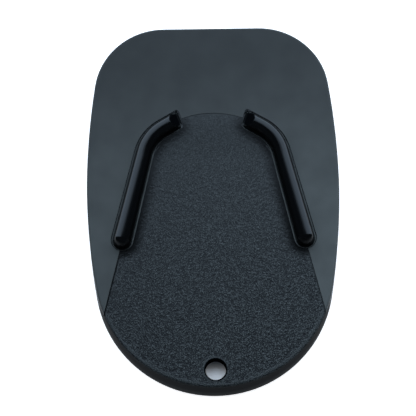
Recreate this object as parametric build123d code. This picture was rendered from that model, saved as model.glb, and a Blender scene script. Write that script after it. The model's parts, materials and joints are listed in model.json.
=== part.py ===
from build123d import *
import os
from math import ceil, radians, sqrt, tan

# A kickstand pad: a plastic plate, moulded in one piece, that lies under a motorbike's side stand
# so that its foot doesn't sink into soft ground.
# The frame: +X to the pad's right, +Y to its square back end, +Z up.
# The origin is at the middle of the outline, on the ground. Sizes are in millimetres and degrees.

# The outline: a straight back edge, two gently bowed sides and a round nose
PAD_LENGTH = 128.5
PAD_WIDTH = 85.8
WIDEST_FROM_NOSE = 71.6
BACK_SIDE_RADIUS = 258.0
FRONT_SIDE_RADIUS = 214.0
BACK_CORNER_RADIUS = 24.0

# The plate: a smooth collar along the back and sides, round a grained tongue that lies a little lower
COLLAR_THICKNESS = 5.5
TONGUE_STEP = 0.4
CROWN_RISE = 1.8
FRONT_LEAN = 30.0
EDGE_ROUND = 0.8
GROUND_EDGE_CHAMFER = 0.5
EDGE_LAND = 0.4

# The two ribs that hold the stand's foot: straight and tapered, then bent towards each other
RIB_FOOT_FROM_NOSE = 52.4
RIB_FOOT_FROM_SIDE = 12.2
RIB_SPLAY = 13.6
RIB_STRAIGHT = 31.4
RIB_BEND_RADIUS = 14.0
RIB_BEND_ANGLE = 46.0
RIB_TIP = 6.4
RIB_TIP_RAKE = 40.0
RIB_TIP_TURN = 11.0
RIB_TIP_ROUND = 0.8
RIB_FOOT_WIDTH = 6.1
RIB_WIDTH = 5.3
RIB_UPRIGHT = 0.3
RIB_FILLET = 0.7
RIB_LAND = 0.15

# The hole for a lanyard, so that the pad can be pulled up from the saddle
HOLE_DIAMETER = 6.8
HOLE_LAND = 1.1
HOLE_CHAMFER = 0.35
HOLE_BOSS_WALL = 3.0

# The underside: pockets between webs, which keep the walls of the moulding even
SKIN = 2.5
RIM = 3.2
WEB = 1.8
POCKET = 15.2
SMALLEST_POCKET = 5.0

TONGUE_THICKNESS = COLLAR_THICKNESS - TONGUE_STEP
TOE_HEIGHT = GROUND_EDGE_CHAMFER + EDGE_LAND
RIB_SPRING = COLLAR_THICKNESS + RIB_FILLET + RIB_UPRIGHT
BACK_Y = PAD_LENGTH / 2
NOSE_Y = -PAD_LENGTH / 2


def arc_about(centre, start, end):
    """The shorter arc from start to end round a centre."""
    middle = (start - centre).normalized() + (end - centre).normalized()
    return ThreePointArc(start, centre + middle.normalized() * (start - centre).length, end)


def outline():
    """The pad seen from above, where each arc runs smoothly into the next."""
    widest = Vector(PAD_WIDTH / 2, NOSE_Y + WIDEST_FROM_NOSE)
    back_centre = widest - Vector(BACK_SIDE_RADIUS, 0)
    front_centre = widest - Vector(FRONT_SIDE_RADIUS, 0)

    # The corner's circle touches the back edge and lies inside the back side's circle
    corner_y = BACK_Y - BACK_CORNER_RADIUS
    between = BACK_SIDE_RADIUS - BACK_CORNER_RADIUS
    corner_x = back_centre.X + sqrt(between**2 - (corner_y - widest.Y) ** 2)
    corner_centre = Vector(corner_x, corner_y)
    corner_start = Vector(corner_x, BACK_Y)
    corner_end = back_centre + (corner_centre - back_centre).normalized() * BACK_SIDE_RADIUS

    # The nose's circle is on the axis, passes through the front and lies inside both front sides' circles
    spare = FRONT_SIDE_RADIUS + NOSE_Y
    nose_y = (spare**2 - front_centre.X**2 - widest.Y**2) / (2 * (spare - widest.Y))
    nose_centre = Vector(0, nose_y)
    nose_start = front_centre + (nose_centre - front_centre).normalized() * FRONT_SIDE_RADIUS

    side = [
        arc_about(corner_centre, corner_start, corner_end),
        arc_about(back_centre, corner_end, widest),
        arc_about(front_centre, widest, nose_start),
    ]
    back_edge = Line((-corner_x, BACK_Y), (corner_x, BACK_Y))
    nose = ThreePointArc(nose_start, (0, NOSE_Y), (-nose_start.X, nose_start.Y))
    return make_face(Curve() + [back_edge, nose] + side + [mirror(arc, Plane.YZ) for arc in side])


def front_slant(thickness):
    """The way up the front wall, which leans back above its upright toe."""
    rise = thickness - TOE_HEIGHT
    return Vector(0, rise * tan(radians(FRONT_LEAN)), rise)


def plate(thickness):
    """A slab of the whole outline, whose front wall leans back, with a round top edge and a bevelled base."""
    slant = front_slant(thickness)
    toe_top = Pos(0, 0, TOE_HEIGHT) * outline()
    slab = extrude(outline(), TOE_HEIGHT)
    slab += extrude(toe_top, slant.Z) & extrude(toe_top, slant.length, dir=slant)
    upper_round = min(EDGE_ROUND, slant.Z - EDGE_LAND)
    slab = fillet(slab.edges().group_by(Axis.Z)[-1], upper_round)
    return chamfer(slab.edges().group_by(Axis.Z)[0], GROUND_EDGE_CHAMFER)


def rib_path():
    """The right rib's centre line, from the middle of its round foot to its tip."""
    foot = Vector(PAD_WIDTH / 2 - RIB_FOOT_FROM_SIDE, NOSE_Y + RIB_FOOT_FROM_NOSE)
    straight = PolarLine(foot, RIB_STRAIGHT, 90 + RIB_SPLAY)
    bend = JernArc(straight @ 1, straight % 1, RIB_BEND_RADIUS, RIB_BEND_ANGLE)
    tip = PolarLine(bend @ 1, RIB_TIP, direction=bend % 1)
    return straight, bend, tip


def half_section(width):
    """Half of a rib's section, from its middle to its side: a half-round top on an upright wall."""
    half = width / 2
    root = TONGUE_THICKNESS - SKIN / 2
    top = arc_about(Vector(0, RIB_SPRING), Vector(0, RIB_SPRING + half), Vector(half, RIB_SPRING))
    base = Polyline((half, RIB_SPRING), (half, root), (0, root), (0, RIB_SPRING + half))
    return make_face(Curve() + [top, base])


def whole_section(width):
    half = half_section(width)
    return half + mirror(half, Plane.YZ)


def across(path, place):
    """The plane square to a path, with its X axis towards the tongue."""
    return Plane(path @ place, x_dir=(path % place).rotate(Axis.Z, 90), z_dir=path % place)


def right_rib():
    """A bar with a round foot, a tapered straight, a bend, and a flat tip that leans back."""
    straight, bend, tip = rib_path()
    foot_plane, bend_plane = across(straight, 0), across(bend, 0)
    bend_section = bend_plane * whole_section(RIB_WIDTH)
    past_tip = Line(tip @ 0, tip @ 1 + (tip % 1) * RIB_WIDTH)
    rib = loft([foot_plane * whole_section(RIB_FOOT_WIDTH), bend_section], ruled=True)
    rib += revolve(foot_plane * half_section(RIB_FOOT_WIDTH), Axis(straight @ 0, (0, 0, 1)), 180)
    rib += sweep(bend_section, path=Wire([bend, past_tip]))

    # The cut turns a little towards the other rib, and its rim is round down to the plate
    tip_floor = tip @ 1 + Vector(0, 0, TONGUE_THICKNESS)
    tip_way = (tip % 1).rotate(Axis.Z, RIB_TIP_TURN)
    tip_across = tip_way.rotate(Axis.Z, 90)
    lean_back = Axis((0, 0, 0), tip_across)
    cut = Plane(tip_floor, x_dir=tip_across, z_dir=tip_way.rotate(lean_back, -RIB_TIP_RAKE))
    rib = split(rib, bisect_by=cut, keep=Keep.BOTTOM)
    tip_face = rib.faces().sort_by_distance(tip_floor)[0]
    rim = [edge for group in tip_face.edges().group_by(Axis.Z)[1:] for edge in group]
    return fillet(rim, RIB_TIP_ROUND)


def tongue_zone():
    """The area that the collar leaves open: the tongue, and the ribs with a narrow land round them."""
    straight, bend, tip = rib_path()
    clear = RIB_FILLET + RIB_LAND
    foot, bend_start, bend_end, tip_end = straight @ 0, straight @ 1, bend @ 1, tip @ 1
    run, lean = straight % 1, tip % 1
    run_side, lean_side = run.rotate(Axis.Z, -90), lean.rotate(Axis.Z, -90)
    foot_radius = RIB_FOOT_WIDTH / 2 + clear
    foot_side = foot + run_side * foot_radius
    foot_front = foot - run * foot_radius
    bend_side = bend_start + run_side * (RIB_WIDTH / 2 + clear)
    bend_last = bend_end + lean_side * (RIB_WIDTH / 2 + clear)
    corner = tip_end + lean_side * RIB_WIDTH / 2 + lean * RIB_WIDTH / 2 * tan(radians(RIB_TIP_TURN))
    end_way = lean.rotate(Axis.Z, RIB_TIP_TURN) * clear
    crown_end = tip_end + end_way
    far_end = foot_front - run * PAD_LENGTH
    side = [
        Line(crown_end, corner + end_way),
        arc_about(corner, corner + end_way, corner + lean_side * clear),
        Line(corner + lean_side * clear, bend_last),
        arc_about(bend_start - run_side * RIB_BEND_RADIUS, bend_last, bend_side),
        Line(bend_side, foot_side),
        arc_about(foot, foot_side, foot_front),
        Line(foot_front, far_end),
    ]
    crown = ThreePointArc(crown_end, (0, crown_end.Y + CROWN_RISE), (-crown_end.X, crown_end.Y))
    front = Line(far_end, (-far_end.X, far_end.Y))
    return make_face(Curve() + [crown, front] + side + [mirror(line, Plane.YZ) for line in side])


def ribbed_slab():
    """The lower level: the whole plate, with both ribs blended into its top."""
    slab = plate(TONGUE_THICKNESS)
    rib = right_rib()
    ribs = rib + mirror(rib, Plane.YZ)
    joined = slab + ribs
    return fillet(new_edges(slab, ribs, combined=joined), RIB_FILLET)


def hole_centre():
    nose_edge = NOSE_Y + front_slant(TONGUE_THICKNESS).Y + EDGE_ROUND
    return Vector(0, nose_edge + HOLE_LAND + HOLE_CHAMFER + HOLE_DIAMETER / 2)


def pockets():
    """The hollows of the underside, clear of the rim and of the boss round the hole."""
    pitch = POCKET + WEB
    columns = 2 * ceil(PAD_WIDTH / 2 / pitch)
    rows = 2 * ceil(PAD_LENGTH / 2 / pitch)
    cells = GridLocations(pitch, pitch, columns, rows) * Rectangle(POCKET, POCKET)
    field = offset(outline(), -RIM)
    boss = Pos(hole_centre()) * Circle(HOLE_DIAMETER / 2 + HOLE_BOSS_WALL)
    mouths = (Sketch() + cells) & field - boss
    wide = [
        mouth
        for mouth in mouths.faces()
        if min(mouth.bounding_box().size.X, mouth.bounding_box().size.Y) > SMALLEST_POCKET
    ]
    return extrude(Sketch() + wide, TONGUE_THICKNESS - SKIN)


def kickstand_pad():
    """The collar is the upper level, which ends a step above the tongue and close round the ribs."""
    collar = plate(COLLAR_THICKNESS) - extrude(tongue_zone(), COLLAR_THICKNESS)
    pad = ribbed_slab() + collar - pockets()
    bore = Pos(hole_centre()) * Cylinder(HOLE_DIAMETER / 2, 2 * COLLAR_THICKNESS)
    drilled = pad - bore
    rims = new_edges(pad, bore, combined=drilled).filter_by(GeomType.CIRCLE)
    return chamfer(rims, HOLE_CHAMFER)


os.makedirs("parts", exist_ok=True)
pad = kickstand_pad()
pad.label = "kickstand_pad"
export_step(pad, "parts/kickstand_pad.step")
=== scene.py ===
# %% [markdown]
# # A kickstand pad in black plastic
#
# A motorbike's side stand sinks into soft ground, so riders put a flat pad under its foot. This lesson
# dresses the finished solid of such a pad. The solid is loaded as a fixed frame, in metres, with +Y
# towards the pad's square back end and +Z up. Its sizes could be typed in again here, but everything
# below is placed from the frame, so that the skin and the solid can't drift apart.

# %% Load the frame
import bpy
import json
from math import cos, radians, sin
from mathutils import Matrix, Vector
from mathutils.bvhtree import BVHTree

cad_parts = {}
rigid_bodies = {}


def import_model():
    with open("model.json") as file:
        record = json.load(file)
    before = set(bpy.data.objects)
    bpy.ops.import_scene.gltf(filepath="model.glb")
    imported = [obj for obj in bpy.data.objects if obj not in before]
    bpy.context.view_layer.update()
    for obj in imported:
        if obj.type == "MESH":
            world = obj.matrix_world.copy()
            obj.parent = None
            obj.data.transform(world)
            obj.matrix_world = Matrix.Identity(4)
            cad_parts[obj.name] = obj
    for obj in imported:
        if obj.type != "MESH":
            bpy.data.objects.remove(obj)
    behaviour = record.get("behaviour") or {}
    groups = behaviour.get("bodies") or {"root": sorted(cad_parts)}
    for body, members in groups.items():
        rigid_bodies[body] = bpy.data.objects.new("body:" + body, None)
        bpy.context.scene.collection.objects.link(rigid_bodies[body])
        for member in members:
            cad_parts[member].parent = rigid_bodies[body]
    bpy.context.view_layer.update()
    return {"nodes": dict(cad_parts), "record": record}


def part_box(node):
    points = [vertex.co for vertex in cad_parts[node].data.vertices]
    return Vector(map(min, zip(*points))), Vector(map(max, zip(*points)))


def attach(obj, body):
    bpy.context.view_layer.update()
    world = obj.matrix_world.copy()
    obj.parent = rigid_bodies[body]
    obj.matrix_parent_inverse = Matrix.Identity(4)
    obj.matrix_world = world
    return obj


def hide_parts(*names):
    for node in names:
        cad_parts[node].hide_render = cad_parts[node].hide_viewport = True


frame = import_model()
MM = 0.001
solid = frame["nodes"]["kickstand_pad"]
low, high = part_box("kickstand_pad")
print("the solid measures", [round(side / MM, 2) for side in high - low], "mm")


# %% [markdown]
# ## The moulded skin
#
# On the real pad, the tongue between the ribs came out of the mould with a leather grain, while the
# collar and the ribs came out smooth. A bump in the material could suggest that grain, but the mesh
# would lack it. So the skin is a copy of the solid, whose tongue gets a fine lattice of faces that can
# be raised. The copy is loose triangles, so its doubled corners are merged first, and neighbours then
# share their points.

# %% Copy the solid and merge its triangles
DOUBLES_WITHIN = 0.001 * MM

bpy.ops.object.select_all(action="DESELECT")
pad = bpy.data.objects.new("moulded_pad", solid.data.copy())
bpy.context.scene.collection.objects.link(pad)
bpy.context.view_layer.objects.active = pad
pad.select_set(True)
bpy.ops.object.mode_set(mode="EDIT")
bpy.ops.mesh.select_all(action="SELECT")
bpy.ops.mesh.remove_doubles(threshold=DOUBLES_WITHIN)
bpy.ops.mesh.customdata_custom_splitnormals_clear()
bpy.ops.object.mode_set(mode="OBJECT")
print("the merged copy has", len(pad.data.polygons), "triangles and", len(pad.data.vertices), "points")


# %% [markdown]
# ## Two levels
#
# The pad's top has two flat levels: the collar, and the tongue a step below it. They are the two
# heights with the most level faces, so the script can find them and needs no copy of the solid's sizes.

# %% Find the two levels
HAIR = 0.01 * MM
FACING_UP = 0.999

level_area = {}
for face in pad.data.polygons:
    if face.normal.z > FACING_UP:
        level = round(face.center.z / HAIR)
        level_area[level] = level_area.get(level, 0) + face.area
TONGUE_Z, COLLAR_Z = sorted(level * HAIR for level in sorted(level_area, key=level_area.get)[-2:])
print("the tongue is at", round(TONGUE_Z / MM, 2), "mm, the collar at", round(COLLAR_Z / MM, 2), "mm")


# %% [markdown]
# By hand, the tongue's faces would be picked one by one with the mouse. Here a test picks them, by the
# way they face and their height, so the same faces are found each time the script runs.

# %% Pick faces by a test
def select_faces(wanted):
    """Selects the faces of the pad that pass a test, and nothing else."""
    bpy.ops.object.mode_set(mode="EDIT")
    bpy.ops.mesh.select_mode(type="FACE")
    bpy.ops.mesh.select_all(action="DESELECT")
    bpy.ops.object.mode_set(mode="OBJECT")
    for face in pad.data.polygons:
        face.select = wanted(face)
    bpy.ops.object.mode_set(mode="EDIT")


def on_tongue(face):
    return face.normal.z > FACING_UP and abs(face.center.z - TONGUE_Z) < HAIR


print(sum(map(on_tongue, pad.data.polygons)), "triangles lie on the tongue")


# %% [markdown]
# ## A lattice for the grain
#
# A remesh would give the tongue small faces too, but it would round the pad's edges. Cuts keep them.
# Everything but the tongue is hidden while rows of cuts in both directions divide it into squares of a
# millimetre. Hidden faces can't be selected, so select-all before each cut takes the tongue alone. Each
# cut is marked as a seam. The old triangles are then dissolved up to the seams, which leaves one clean
# face in each square.

# %% Cut the tongue into squares
SQUARE = 1.0 * MM
ON_THE_CUT = 0.0005 * MM
FLAT_WITHIN = radians(0.4)

select_faces(on_tongue)
bpy.ops.mesh.hide(unselected=True)
tongue_corners = {corner for face in pad.data.polygons if on_tongue(face) for corner in face.vertices}
tongue_points = [pad.data.vertices[corner].co.copy() for corner in tongue_corners]
for axis in (0, 1):
    first, last = (int(end(point[axis] for point in tongue_points) / SQUARE) for end in (min, max))
    across = Vector([float(axis == n) for n in range(3)])
    for step in range(first, last + 1):
        bpy.ops.mesh.select_all(action="SELECT")
        bpy.ops.mesh.bisect(plane_co=across * step * SQUARE, plane_no=across, threshold=ON_THE_CUT)
        bpy.ops.mesh.mark_seam(clear=False)
bpy.ops.mesh.reveal(select=False)
bpy.ops.mesh.select_all(action="SELECT")
bpy.ops.mesh.dissolve_limited(angle_limit=FLAT_WITHIN, delimit={"SEAM"})
bpy.ops.mesh.select_all(action="SELECT")
bpy.ops.mesh.mark_seam(clear=True)
bpy.ops.object.mode_set(mode="OBJECT")
print("after the cuts it has", len(pad.data.polygons), "faces")


# %% [markdown]
# Only whole squares are divided further, to a quarter of a millimetre. The trimmed squares along the
# outline stay as they are, so the tongue keeps a plain rim, as the real one has beside its edges.

# %% Divide the whole squares
FINE_CUTS = 3
AREA_WITHIN = 0.01


def whole_square(face):
    four_corners = on_tongue(face) and len(face.vertices) == 4
    return four_corners and abs(face.area - SQUARE**2) < AREA_WITHIN * SQUARE**2


select_faces(whole_square)
bpy.ops.mesh.subdivide(number_cuts=FINE_CUTS)
bpy.ops.mesh.select_less()
bpy.ops.object.mode_set(mode="OBJECT")
grain_points = [v.index for v in pad.data.vertices if v.select]
print(len(grain_points), "points lie inside the squares")


# %% [markdown]
# ## Distances
#
# The grain and the finish change close to the ribs and along the step. Masks could be painted there by
# hand, but then they wouldn't follow the solid. So every point of the skin keeps its distance from the
# nearest rib and from the nearest wall of the step. The first is taken just above the rib's fillet, so
# that it is 0 all over the rib itself.

# %% Measure how far each point is from a rib and from the step
FILLET_TOP = 0.9 * MM
RIB_Z = COLLAR_Z + FILLET_TOP
UPRIGHT = 0.1


def keep_distances(name, wanted, spot):
    """Keeps each point's distance from the nearest face that passes a test, as an attribute of the skin."""
    found = [list(face.vertices) for face in pad.data.polygons if wanted(face)]
    nearest = BVHTree.FromPolygons([v.co for v in pad.data.vertices], found).find_nearest
    values = [nearest(spot(v.co))[3] for v in pad.data.vertices]
    pad.data.attributes.new(name, "FLOAT", "POINT").data.foreach_set("value", values)
    print("of", len(found), "faces,", name, "goes up to", round(max(values) / MM, 1), "mm")
    return values


def on_rib(face):
    return face.center.z > RIB_Z


def on_step(face):
    top = max(pad.data.vertices[corner].co.z for corner in face.vertices)
    return abs(face.normal.z) < UPRIGHT and abs(top - COLLAR_Z) < HAIR


from_rib = keep_distances("from_rib", on_rib, lambda point: Vector((*point.xy, max(point.z, RIB_Z))))
keep_distances("from_step", on_step, Vector)


# %% [markdown]
# ## The tongue's crown
#
# The step round the tongue is plain to see near the nose, but behind the ribs' tips, at the tongue's
# crown, it almost fades out. A bevel there would turn its edge away from the light and darken it. So
# the tongue rises very gently towards its crown, by a part of the step.

# %% Let the tongue rise towards its crown
CROWN_LIFT = 0.25 * MM
LIFT_ALONG = (16 * MM, 31 * MM)


def smooth(value, start, end):
    """Rises smoothly from 0 to 1 while the value goes from start to end."""
    share = max(0.0, min(1.0, (value - start) / (end - start)))
    return share * share * (3 - 2 * share)


lower_points = {corner for face in pad.data.polygons if on_tongue(face) for corner in face.vertices}
for corner in lower_points:
    point = pad.data.vertices[corner].co
    point.z += CROWN_LIFT * smooth(point.y, *LIFT_ALONG)
print("the tongue rises by", round(CROWN_LIFT / MM, 2), "mm towards its crown")


# %% [markdown]
# ## Leather grain
#
# The grain is faint at the crown, deepest at the nose, and fades out beside the ribs. A texture could
# hold that pattern, but a vertex group needs no picture: it gives each point its share of the grain. An
# attribute marks the same points, so that the finish can tell them from the plain rim.

# %% Weigh the grain
CROWN_SHARE = 0.25
PLAIN_BESIDE_RIB = (0.8 * MM, 3.5 * MM)

grain_group = pad.vertex_groups.new(name="grain")
grain_marks = [0.0] * len(pad.data.vertices)
back_end, nose_end = (end(point.y for point in tongue_points) for end in (max, min))
plain_up_to, full_from = PLAIN_BESIDE_RIB
for index in grain_points:
    to_nose = (back_end - pad.data.vertices[index].co.y) / (back_end - nose_end)
    clear = max(0.0, min(1.0, (from_rib[index] - plain_up_to) / (full_from - plain_up_to)))
    grain_group.add([index], (CROWN_SHARE + (1 - CROWN_SHARE) * to_nose) * clear, "REPLACE")
    grain_marks[index] = 1.0
pad.data.attributes.new("grained", "FLOAT", "POINT").data.foreach_set("value", grain_marks)
print("the grain goes from", CROWN_SHARE, "of its depth at the crown to all of it at the nose")


# %% [markdown]
# Leather grain is rounded pebbles with narrow valleys between them. Sculpting them would take days. A
# Displace modifier raises the points by a cloud of cells instead, which has just that form.

# %% Raise the grain
PEBBLE = 0.45 * MM
GRAIN_DEPTH = 0.28 * MM
GRAIN_MIDDLE = 0.28
CELL_LAYERS = 1

plain_height = {index: pad.data.vertices[index].co.z for index in grain_points}
cells = bpy.data.textures.new("leather_cells", "CLOUDS")
cells.noise_basis = "VORONOI_F2_F1"
cells.noise_scale = PEBBLE
cells.noise_depth = CELL_LAYERS
grain = pad.modifiers.new("leather_grain", "DISPLACE")
grain.texture = cells
grain.texture_coords = "LOCAL"
grain.direction = "Z"
grain.strength = GRAIN_DEPTH
grain.mid_level = GRAIN_MIDDLE
grain.vertex_group = "grain"
bpy.ops.object.modifier_apply(modifier="leather_grain")
raised = [pad.data.vertices[index].co.z - plain_height[index] for index in grain_points]
print("the grain lies from", round(min(raised) / MM, 3), "to", round(max(raised) / MM, 3), "mm")


# %% [markdown]
# Curved stretches are shaded smooth and real edges stay sharp. Smooth shading alone would let a fillet
# throw a false shade across a large flat face, so weighted normals let the flat faces keep their own
# direction.

# %% Shade the skin
SHARP_ANGLE = radians(32)

bpy.ops.object.shade_smooth_by_angle(angle=SHARP_ANGLE)
weighted = pad.modifiers.new("flat_faces_lead", "WEIGHTED_NORMAL")
weighted.keep_sharp = True
bpy.ops.object.modifier_apply(modifier="flat_faces_lead")
pad.data.calc_loop_triangles()
print("the skin has", len(pad.data.loop_triangles), "triangles")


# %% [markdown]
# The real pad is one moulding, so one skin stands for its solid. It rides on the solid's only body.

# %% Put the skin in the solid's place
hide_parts("kickstand_pad")
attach(pad, "root")
print(pad.name, "stands for the solid")


# %% [markdown]
# ## Shader maths
#
# A finish is easier to read as sums than as a web of nodes. This class wraps one output socket. Sums
# and products of wrapped sockets add their Math nodes, and one method makes any other node.

# %% A socket that can be added and multiplied
class Value:
    def __init__(self, tree, socket=None):
        self.tree = tree
        self.socket = socket

    def make(self, kind, settings=None, sockets=None, output=0):
        """Adds a node, sets it up, feeds its sockets, and wraps one of its outputs."""
        node = self.tree.nodes.new(kind)
        for name, setting in (settings or {}).items():
            setattr(node, name, setting)
        for name, value in (sockets or {}).items():
            if isinstance(value, Value):
                self.tree.links.new(value.socket, node.inputs[name])
            else:
                node.inputs[name].default_value = value
        return Value(self.tree, node.outputs[output])

    def math(self, operation, first, second=0.0):
        return self.make("ShaderNodeMath", {"operation": operation}, {0: first, 1: second})

    def __add__(self, other):
        return self.math("ADD", self, other)

    __radd__ = __add__

    def __sub__(self, other):
        return self.math("SUBTRACT", self, other)

    def __rsub__(self, other):
        return self.math("SUBTRACT", other, self)

    def __mul__(self, other):
        return self.math("MULTIPLY", self, other)

    __rmul__ = __mul__

    def most(self, other):
        return self.math("MAXIMUM", self, other)

    def ramp(self, start, end):
        """Rises smoothly from 0 to 1 while the value goes from start to end."""
        sockets = {"Value": self, "From Min": start, "From Max": end}
        return self.make("ShaderNodeMapRange", {"interpolation_type": "SMOOTHSTEP"}, sockets)

    def fall(self, start, end):
        """Falls smoothly from 1 to 0 while the value goes from start to end."""
        return 1 - self.ramp(start, end)


# %% [markdown]
# A Math node would turn a colour grey and can't hold a vector, so those go through nodes of their own.
# These helpers make such nodes, and the last one makes the material that holds them.

# %% Helpers for places and colours
def axes(vector):
    return [vector.make("ShaderNodeSeparateXYZ", None, {0: vector}, axis) for axis in "XYZ"]


def distance(place, point):
    sockets = {0: place, 1: point}
    return place.make("ShaderNodeVectorMath", {"operation": "DISTANCE"}, sockets, "Value")


def noise(place, size, detail=2.0):
    return place.make("ShaderNodeTexNoise", None, {"Vector": place, "Scale": 1 / size, "Detail": detail})


def blend(factor, first, second):
    """Goes from one colour to another while the factor goes from 0 to 1."""
    sockets = {"Factor": factor, "A": first, "B": second}
    return factor.make("ShaderNodeMix", {"data_type": "RGBA"}, sockets, 2)


def scaled(colour, factor):
    sockets = {0: colour[:3], "Scale": factor}
    return factor.make("ShaderNodeVectorMath", {"operation": "SCALE"}, sockets)


def new_material(name):
    material = bpy.data.materials.new(name)
    material.use_nodes = True
    return material


# %% [markdown]
# ## Black plastic
#
# The pad is one plastic, but the mould gave it several finishes: a satin collar, polished ribs, a
# grained tongue and a few dull places. Each could be a material with faces of its own, but the borders
# between them would be as hard as the faces' edges. So it is one material, with masks from 0 to 1 for
# where each finish lies. The masks read a point's place, the way it faces, and what the skin keeps
# about it. Some masks also paint light and shade into the colour: painted shade, a painted shadow,
# painted highlights and a painted reflection, each named where it is made.

# %% What the masks read
plastic = new_material("black_plastic_finish")
tree = plastic.node_tree
start = Value(tree)
place = start.make("ShaderNodeTexCoord", output="Object")
side, length, height = axes(place)
turn_x, turn_y, turn_z = axes(start.make("ShaderNodeNewGeometry", output="Normal"))


def kept(name):
    return start.make("ShaderNodeAttribute", {"attribute_name": name}, None, "Fac")


rib_gap, step_gap, grained = kept("from_rib"), kept("from_step"), kept("grained")
inwards = 0 - turn_x * side.math("SIGN", side)
print("the masks start from", len(tree.nodes), "nodes")


# %% [markdown]
# ### The two levels
#
# The tongue and the front wall below it share the grained finish. The collar, its outer walls and the
# underside are satin. A fixed height could part them, but the step gets lower towards the crown, so the
# border is a share of the step at each place.

# %% Part the lower level from the collar
PART_OF_STEP = (0.3, 0.75)
CLEAR_OF_RIB = (0.6 * MM, 0.72 * MM)
COLLAR_WALL_TOP = (-0.3 * MM, 0.1 * MM)
COLLAR_WALL_END = (-36 * MM, -30 * MM)
COLLAR_WALL_TURN = (0.8, 0.9)
UNDERSIDE_TURN = (-0.5, -0.1)

tongue_level = TONGUE_Z + CROWN_LIFT * length.ramp(*LIFT_ALONG)
depth = tongue_level - height
step_height = COLLAR_Z - tongue_level
below_step = height.fall(*(tongue_level + share * step_height for share in PART_OF_STEP))
collar_wall = depth.ramp(*COLLAR_WALL_TOP) * length.ramp(*COLLAR_WALL_END) * turn_z.fall(*COLLAR_WALL_TURN)
not_under = turn_z.ramp(*UNDERSIDE_TURN) * (1 - collar_wall)
low_part = not_under * below_step * rib_gap.ramp(*CLEAR_OF_RIB)
print("with the two levels there are", len(tree.nodes), "nodes")


# %% [markdown]
# ### Polished ribs
#
# The ribs are polished. The polish goes round each rib's foot and runs down its fillet. Its near-black
# colour also spreads over the first millimetres of the tongue beside each rib and fades out there: painted
# shade, where the ribs shade the tongue. A mask by faces would end it at a hard edge, so it follows the
# distance from a rib instead.

# %% Polish the ribs
RIB_REACH = (0.1 * MM, 0.25 * MM)
FOOT_REACH = (0.65 * MM, 0.8 * MM)
FOOT_TURN = (-0.5, -0.1)
SHADE_MARGIN_REACH = (0.9 * MM, 5.2 * MM)

foot = turn_y.fall(*FOOT_TURN) * rib_gap.fall(*FOOT_REACH)
ribs = foot.most(rib_gap.fall(*RIB_REACH))
# painted shade: the near-black polish darkens the tongue beside each rib, fading out over a few millimetres
polish_and_shade_margin = low_part * rib_gap.fall(*SHADE_MARGIN_REACH)
print("with the ribs there are", len(tree.nodes), "nodes")


# %% [markdown]
# ### Two fine lines
#
# A dark polished line is painted along the foot of the step: painted shadow of the step, stronger on the
# left and almost gone at the crown. Along the inner foot of each rib's bend the polish is taken off and the
# grey is paled: a painted highlight.
# Both are too thin for faces of their own, so distances draw them.

# %% Draw the lines along the step and the bends
LINE_WIDTH = (0.25 * MM, 0.75 * MM)
LINE_TURN = (0.5, 0.9)
LINE_LEFT = 0.9
LINE_LOSS_RIGHT = 0.5
LINE_LOSS_CROWN = 0.85
LEFT_TO_RIGHT = (-10 * MM, 10 * MM)
CROWN_ALONG = (20 * MM, 31 * MM)
INNER_TURN = (0.03, 0.15)
INWARDS_SHARE = 0.5
FOOT_HIGHLIGHT_FROM = (0.6 * MM, 0.7 * MM)
FOOT_HIGHLIGHT_TO = (0.85 * MM, 1.0 * MM)
BEND_ALONG = (10 * MM, 18 * MM)

left_more = LINE_LEFT - LINE_LOSS_RIGHT * side.ramp(*LEFT_TO_RIGHT)
line_strength = left_more * (1 - LINE_LOSS_CROWN * length.ramp(*CROWN_ALONG))
# painted shadow: a dark line along the foot of the step, stronger on the left, almost gone at the crown
step_shadow_line = low_part * step_gap.fall(*LINE_WIDTH) * line_strength * turn_z.ramp(*LINE_TURN)
inner_side = (INWARDS_SHARE * inwards - turn_y).ramp(*INNER_TURN)
# painted highlight: a pale line along the inner foot of each rib's bend, where the polish is taken off
foot_highlight = inner_side * rib_gap.ramp(*FOOT_HIGHLIGHT_FROM) * rib_gap.fall(*FOOT_HIGHLIGHT_TO) * length.ramp(*BEND_ALONG)
polished = ribs.most(polish_and_shade_margin).most(step_shadow_line) * (1 - foot_highlight)
print("with the lines there are", len(tree.nodes), "nodes")


# %% [markdown]
# ### The satin collar
#
# The collar's satin grey is a little cloudy all over. Painted light and shade is laid into it too: it
# is paler towards the nose and on the right, as painted light, and darker round its edges, as painted
# shade, with a painted highlight where the edges face right. The grey is multiplied by each of these in
# turn.

# %% Make the satin
SATIN_BLACK = (0.067, 0.068, 0.062, 1.0)
BACK_SHADE = 0.40
BACK_ALONG = (-5 * MM, 60 * MM)
RIGHT_PAINTED_LIGHT = 4.2
EDGE_SHADE = 0.5
EDGE_TURN = (0.6, 0.998)
EDGE_PAINTED_HIGHLIGHT = 0.35
CLOUD = 9 * MM
CLOUD_SHARE = 0.7
NOISE_MIDDLE = 0.5

# painted light and shade: paler towards the nose and on the right, darker round the edges, a painted
# highlight on edges that face right
towards_back = length.ramp(*BACK_ALONG)
to_right = 1 + RIGHT_PAINTED_LIGHT * side
edge = (1 - EDGE_SHADE * turn_z.fall(*EDGE_TURN)) * (1 + EDGE_PAINTED_HIGHLIGHT * turn_x)
clouds = 1 + CLOUD_SHARE * (noise(place, CLOUD) - NOISE_MIDDLE)
satin = scaled(SATIN_BLACK, (1 - (1 - BACK_SHADE) * towards_back) * to_right * edge * clouds)
print("with the satin there are", len(tree.nodes), "nodes")


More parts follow.
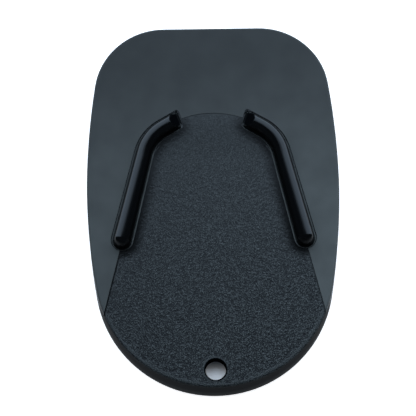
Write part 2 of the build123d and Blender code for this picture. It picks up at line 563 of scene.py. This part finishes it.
# %% [markdown]
# ### The grained tongue
#
# The pebbles' tops are grey, and the valleys between them are painted black: painted shade in the
# valleys. A second pattern of noise could colour them, but it wouldn't sit on the pebbles. So the colour
# follows the raised grain's own height, with fine specks that get stronger towards the nose. The front
# wall is painted black too, as painted shade, down to a mottled pale band along the ground that is a
# painted reflection of the table. The grey is paler on the right and darker towards the back, painted
# light and shade, and paler still on each bend's painted highlight.

# %% Make the leather
VALLEY_SHADE_BLACK = (0.002, 0.002, 0.0025, 1.0)
PEBBLE_GREY = (0.075, 0.079, 0.075, 1.0)
SPECK = 0.3 * MM
SPECK_DETAIL = 1.0
SPECK_HEIGHT = 0.22 * MM
SPECK_ALONG = (-60 * MM, 50 * MM)
PEBBLE_TOPS = (-0.04 * MM, 0.05 * MM)
WALL_DEPTH = (0.15 * MM, 1.2 * MM)
GROUND_DEPTH = (2.0 * MM, 4.8 * MM)
REFLECTION_MOTTLE = 0.8 * MM
REFLECTION_LEAST = 0.18
REFLECTION_MORE = 1.44
BACK_LOSS = 0.3
FOOT_HIGHLIGHT_GAIN = 4.0

specks = SPECK_HEIGHT * length.fall(*SPECK_ALONG) * (noise(place, SPECK, SPECK_DETAIL) - NOISE_MIDDLE)
# painted shade: the valleys between the pebbles go black, the tops stay grey
tops = (specks - depth * grained).ramp(*PEBBLE_TOPS)
near_ground = depth.ramp(*GROUND_DEPTH)
# painted reflection: a mottled pale band where the front wall meets the table
painted_table_reflection = near_ground * (REFLECTION_LEAST + REFLECTION_MORE * noise(place, REFLECTION_MOTTLE))
# painted shade: the front wall below the tongue goes black
greyed = tops * depth.fall(*WALL_DEPTH) + painted_table_reflection
# painted light and shade: paler on the right, darker towards the back, paler on each bend's painted
# highlight
grey = scaled(PEBBLE_GREY, to_right * (1 + FOOT_HIGHLIGHT_GAIN * foot_highlight) * (1 - BACK_LOSS * towards_back))
leather = blend(greyed, VALLEY_SHADE_BLACK, grey)
print("with the leather there are", len(tree.nodes), "nodes")


# %% [markdown]
# ### Dull places
#
# Four places mirror little and are painted near black: the edge of the lanyard hole, the ribs' cut ends,
# the corner at their tips and the front wall. The black is partly a duller finish and partly painted
# shade, where these places lie in shade. A high roughness would still let them shine where they are seen
# edge-on, so there the plastic is mixed with a plain dull black.

# %% Find the dull places
HOLE_RIM = (3.7 * MM, 4.05 * MM)
END_HEIGHT = (0.1 * MM, 0.3 * MM)
END_INWARDS = (0.2, 0.4)
END_TURN = (-0.1, 0.0)
TIP_INWARDS = (0.02, 0.1)
TIP_ALONG = (28 * MM, 29.5 * MM)
TIP_REACH = (1.8 * MM, 2.4 * MM)
TIP_DULL = 0.9
EDGE_DEPTH = (0.0, 0.5 * MM)
WALL_DULL = 0.74
SIDE_DULL = 0.06
SIDE_ACROSS = (8 * MM, 34 * MM)
GROUND_LOSS = 0.25

hole = next(mount for mount in frame["record"]["mounts"] if mount["name"] == "lanyard_hole")["pos_m"]
hole_axis = start.make("ShaderNodeCombineXYZ", None, {0: hole[0], 1: hole[1], 2: height})
bore = distance(place, hole_axis).fall(*HOLE_RIM)
cut_end = (0 - depth).ramp(*END_HEIGHT) * inwards.ramp(*END_INWARDS) * turn_y.ramp(*END_TURN)
tip = inwards.ramp(*TIP_INWARDS) * length.ramp(*TIP_ALONG) * rib_gap.fall(*TIP_REACH) * (1 - grained)
off_middle = side.math("ABSOLUTE", side).ramp(*SIDE_ACROSS)
over_edge = depth.ramp(*EDGE_DEPTH) * (1 - grained)
front_wall = (WALL_DULL + SIDE_DULL * off_middle) * over_edge * low_part * (1 - GROUND_LOSS * near_ground)
# painted shade: these places are mixed with a plain dull black
dull_and_shaded_places = bore.most(cut_end).most((TIP_DULL * tip).most(front_wall))
print("the hole's axis is at", [round(way / MM, 1) for way in hole], "mm")


# %% [markdown]
# ### All finishes together
#
# The masks now lay the finishes over each other: the leather over the satin, and the polish over both.
# All but the polish has a fine roughness that can be felt. It is far smaller than the grain, so it is
# left to bump.

# %% Lay the finishes over each other
POLISHED_BLACK = (0.0009, 0.0010, 0.0011, 1.0)
SATIN_ROUGH = 0.55
GRAIN_ROUGH = 0.36
POLISHED_ROUGH = 0.14
FOOT_ROUGHER = 0.24
RELIEF = 0.25 * MM
RELIEF_SHARE = 0.3
RELIEF_STRENGTH = 0.2
RELIEF_DEPTH = 0.05 * MM
PLASTIC_IOR = 1.5
PLASTIC_SPECULAR = 0.25

# the colour carries the painted light and shade that the masks above lay in
colour = blend(polished, blend(low_part, satin, leather), POLISHED_BLACK)
unpolished_rough = SATIN_ROUGH + (GRAIN_ROUGH - SATIN_ROUGH) * low_part
roughness = unpolished_rough * (1 - polished) + (POLISHED_ROUGH + FOOT_ROUGHER * foot) * polished
relief = RELIEF_SHARE * noise(place, RELIEF) * (1 - polished)
sockets = {"Height": relief, "Strength": RELIEF_STRENGTH, "Distance": RELIEF_DEPTH}
bump = start.make("ShaderNodeBump", None, sockets)
shader = tree.nodes["Principled BSDF"]
for name, value in {"Base Color": colour, "Roughness": roughness, "Normal": bump}.items():
    tree.links.new(value.socket, shader.inputs[name])
shader.inputs["IOR"].default_value = PLASTIC_IOR
shader.inputs["Specular IOR Level"].default_value = PLASTIC_SPECULAR
print("colour, roughness and bump follow the masks")


# %% [markdown]
# Last comes the dull black, partly painted shade, over all the rest. As a base colour it would still
# shine, so it is a shader of its own, and its mask is the factor of the mix.

# %% Mix in the dull black
DULL_SHADE_BLACK = (0.0018, 0.0020, 0.0024, 1.0)

# painted shade: a plain dull black
dull_shade = start.make("ShaderNodeBsdfDiffuse", None, {"Color": DULL_SHADE_BLACK})
sockets = {0: dull_and_shaded_places, 1: Value(tree, shader.outputs[0]), 2: dull_shade}
whole = start.make("ShaderNodeMixShader", None, sockets)
tree.links.new(whole.socket, tree.nodes["Material Output"].inputs["Surface"])
pad.data.materials.clear()
pad.data.materials.append(plastic)
print("the plastic uses", len(tree.nodes), "nodes")


# %% [markdown]
# ## The table
#
# The pad lies on a plain white table. More light would make it whiter, but would bleach the pad as
# well. So the table glows a little, for the camera and for reflections alone, and its diffuse part
# keeps the pad's soft shadow.

# %% Lay a white table
TABLE_SIZE = 4.0
TABLE_WHITE = (0.85, 0.85, 0.85, 1.0)
TABLE_ROUGH = 0.8

bpy.ops.object.select_all(action="DESELECT")
bpy.ops.mesh.primitive_plane_add(size=TABLE_SIZE, location=(0, 0, 0))
table = bpy.context.active_object
table.name = "table"
white_table = new_material("white_table")
tree = white_table.node_tree
shader = tree.nodes["Principled BSDF"]
shader.inputs["Base Color"].default_value = TABLE_WHITE
shader.inputs["Roughness"].default_value = TABLE_ROUGH
table.data.materials.append(white_table)
print("the table is", TABLE_SIZE, "m wide")


# %% [markdown]
# Under the lanyard hole the real table lies in shade, so a glow all over would light up the hole like a
# lamp. There only a little of it is left, on the side towards the nose: painted light, where light falls in
# through the hole.

# %% Let the table glow
TABLE_GLOW = 0.9
HOLE_SHADE = (5.5 * MM, 6.0 * MM)
HOLE_GLOW = 0.22
HOLE_GLOW_ALONG = (-3 * MM, 4 * MM)
WHITE = (1.0, 1.0, 1.0, 1.0)

start = Value(tree)
spot = start.make("ShaderNodeTexCoord", output="Object")
open_table = distance(spot, (hole[0], hole[1], 0)).ramp(*HOLE_SHADE)
# painted light: a little glow left under the hole, on the side towards the nose
in_hole = HOLE_GLOW * axes(spot)[1].fall(*(hole[1] + way for way in HOLE_GLOW_ALONG))
seen, mirrored, through = (
    start.make("ShaderNodeLightPath", output=ray)
    for ray in ("Is Camera Ray", "Is Glossy Ray", "Is Transmission Ray")
)
strength = TABLE_GLOW * (in_hole + (1 - in_hole) * open_table) * (seen + mirrored + through)
glow = start.make("ShaderNodeEmission", None, {"Color": WHITE, "Strength": strength})
lit = start.make("ShaderNodeAddShader", None, {0: Value(tree, shader.outputs[0]), 1: glow})
tree.links.new(lit.socket, tree.nodes["Material Output"].inputs["Surface"])
print("the table glows at", TABLE_GLOW, "and up to", HOLE_GLOW, "of that under the hole")


# %% [markdown]
# ## Light
#
# Glossy black plastic shows little colour of its own: what is seen is the room in it. A photographer
# would put the pad in a tent of white cloth that is open towards the camera. The cloth hangs behind and
# beside the pad and reaches up to just past overhead, so a rib mirrors cloth on its outer half and the
# dark room on its inner half. Lamps could stand for the tent, but a world that is bright in those
# directions has no seams. The camera itself sees plain white past the table.

# %% A light tent
TENT_GLOW = 3.36
TENT_EDGE = (0.25, 0.41)
ROOM_GLOW = 0.1
LIGHT_TINT = (0.61, 0.79, 1.0, 1.0)

tent = bpy.data.worlds.new("light_tent")
tent.use_nodes = True
bpy.context.scene.world = tent
tree = tent.node_tree
start = Value(tree)
direction = start.make("ShaderNodeTexCoord", output="Generated")
cloth = axes(direction)[1].ramp(*TENT_EDGE)
seen = start.make("ShaderNodeLightPath", output="Is Camera Ray")
colour = blend(seen, LIGHT_TINT, WHITE)
strength = (ROOM_GLOW + TENT_GLOW * cloth) * (1 - seen) + seen
backdrop = tree.nodes["Background"]
tree.links.new(colour.socket, backdrop.inputs["Color"])
tree.links.new(strength.socket, backdrop.inputs["Strength"])
print("the tent glows at", TENT_GLOW, "and the room at", ROOM_GLOW)


# %% [markdown]
# ## Camera
#
# The photograph was taken from above and a little in front of the nose, with the camera slightly
# turned. A camera can be aimed by rotation angles, but three crossed directions are easier to check:
# where its back, its right side and its top point.

# %% The photographer's view
CAMERA_DISTANCE = 500 * MM
CAMERA_TILT = radians(16)
CAMERA_ROLL = radians(-0.8)
LOOK_AT = Vector((-1.80, -1.07, 5.0)) * MM
PIXELS_PER_MM = 2.958
PICTURE_PIXELS = 416
NEAREST_SEEN = 10 * MM

camera_data = bpy.data.cameras.new("camera")
camera = bpy.data.objects.new("camera", camera_data)
bpy.context.scene.collection.objects.link(camera)
back = Vector((0, -sin(CAMERA_TILT), cos(CAMERA_TILT)))
level = Vector((1, 0, 0))
upright = back.cross(level)
right = level * cos(CAMERA_ROLL) + upright * sin(CAMERA_ROLL)
up = upright * cos(CAMERA_ROLL) - level * sin(CAMERA_ROLL)
turned = Matrix((right, up, back)).transposed().to_4x4()
camera.matrix_world = Matrix.Translation(LOOK_AT + back * CAMERA_DISTANCE) @ turned
picture_width = PICTURE_PIXELS / PIXELS_PER_MM * MM
camera_data.lens = camera_data.sensor_width * CAMERA_DISTANCE / picture_width
camera_data.clip_start = NEAREST_SEEN
bpy.context.scene.camera = camera
bpy.context.scene.view_settings.view_transform = "Standard"
print("the lens is", round(camera_data.lens, 1), "mm")
